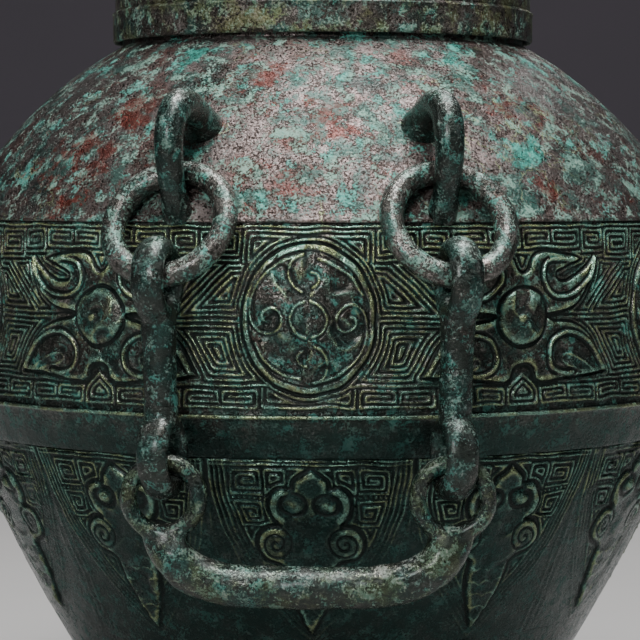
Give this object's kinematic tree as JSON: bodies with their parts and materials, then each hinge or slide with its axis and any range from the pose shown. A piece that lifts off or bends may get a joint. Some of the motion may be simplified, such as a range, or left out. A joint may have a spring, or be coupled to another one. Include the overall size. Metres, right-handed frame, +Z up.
{
  "type": "bronze lidded jar",
  "caption": "Broad-shouldered bronze storage jar with a lift-off lid, a relief frieze, hanging blades and chained bail handles hung from loops on the shoulder.",
  "frame": {"origin": "centre of the foot's underside, on the ground", "axes": "+Z up along the jar's axis; the handle that the picture shows faces -Y, and +X is to its right"},
  "size_m": [0.3372, 0.3726, 0.3818],
  "materials": {
    "jar_bronze": "dark green and brown patina with turquoise patches on cast bronze",
    "lid_bronze": "olive green patina on cast bronze",
    "ring_bronze": "worn grey bronze with dark green in the hollows",
    "link_bronze": "dark green bronze, worn grey where the links rub",
    "bail_bronze": "yellow-green and turquoise patina, worn bright on top"
  },
  "bodies": {
    "root": {"jar": "jar_bronze", "lid": "lid_bronze", "front_left_ring": "ring_bronze", "front_left_link": "link_bronze", "front_right_ring": "ring_bronze", "front_right_link": "link_bronze", "front_bail": "bail_bronze", "back_left_ring": "ring_bronze", "back_left_link": "link_bronze", "back_right_ring": "ring_bronze", "back_right_link": "link_bronze", "back_bail": "bail_bronze"}
  },
  "joints": []
}
